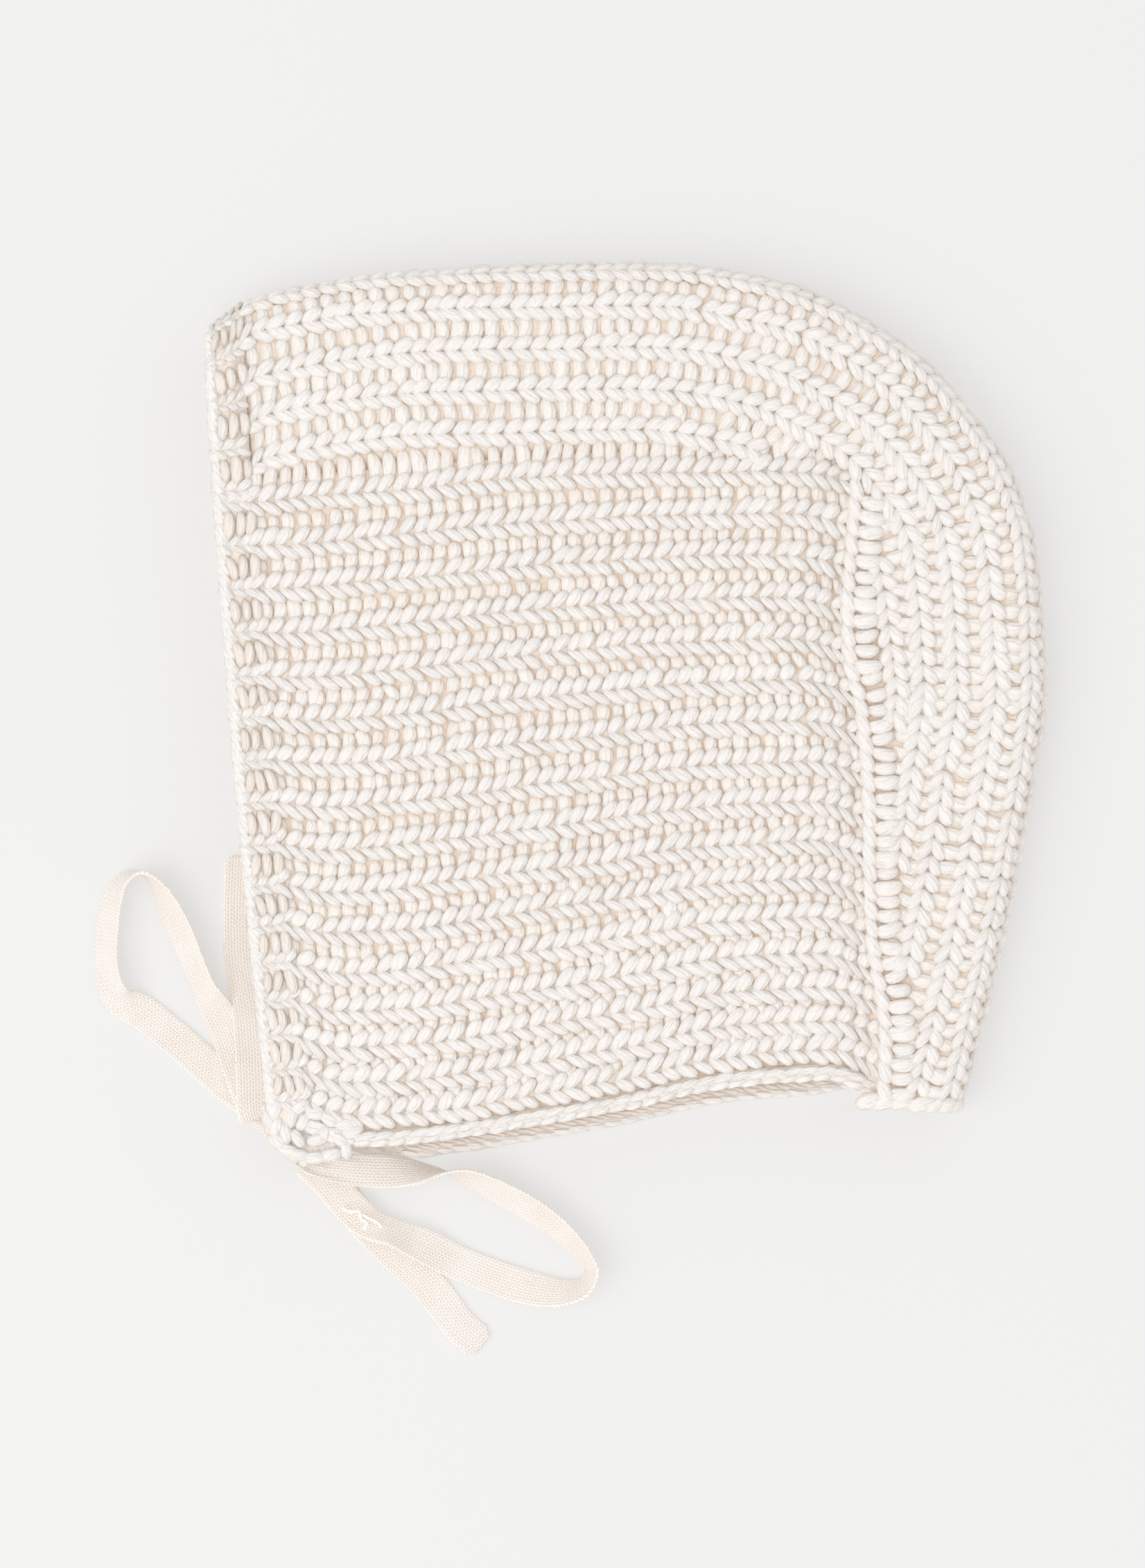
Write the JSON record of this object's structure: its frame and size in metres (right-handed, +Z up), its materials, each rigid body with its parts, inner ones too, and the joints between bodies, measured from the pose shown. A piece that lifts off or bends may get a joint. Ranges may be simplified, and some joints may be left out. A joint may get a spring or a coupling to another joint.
{
  "type": "baby bonnet",
  "caption": "Thick ribbed wool baby bonnet lying on its side, with a crown band shaped down to the nape, a face hem and flat knitted chin ties in a loose bow.",
  "frame": {"origin": "on the table under the middle of the lying bonnet, its ties left out of the measure", "axes": "+Z up from the table, +Y towards the crown of the head, the face opening towards -X"},
  "size_m": [0.1937, 0.2231, 0.0163],
  "materials": {
    "wool_rib": "soft thick wool rib, off-white, matte with short fuzz",
    "wool_tape": "fine cream stocking-stitch tape, matte with short fuzz"
  },
  "bodies": {
    "root": {"near_side_panel": "wool_rib", "far_side_panel": "wool_rib", "crown_band": "wool_rib", "face_hem": "wool_rib", "near_neck_edge": "wool_rib", "far_neck_edge": "wool_rib", "near_chin_gather": "wool_rib", "far_chin_gather": "wool_rib", "near_tie": "wool_tape", "far_tie": "wool_tape"}
  },
  "joints": []
}
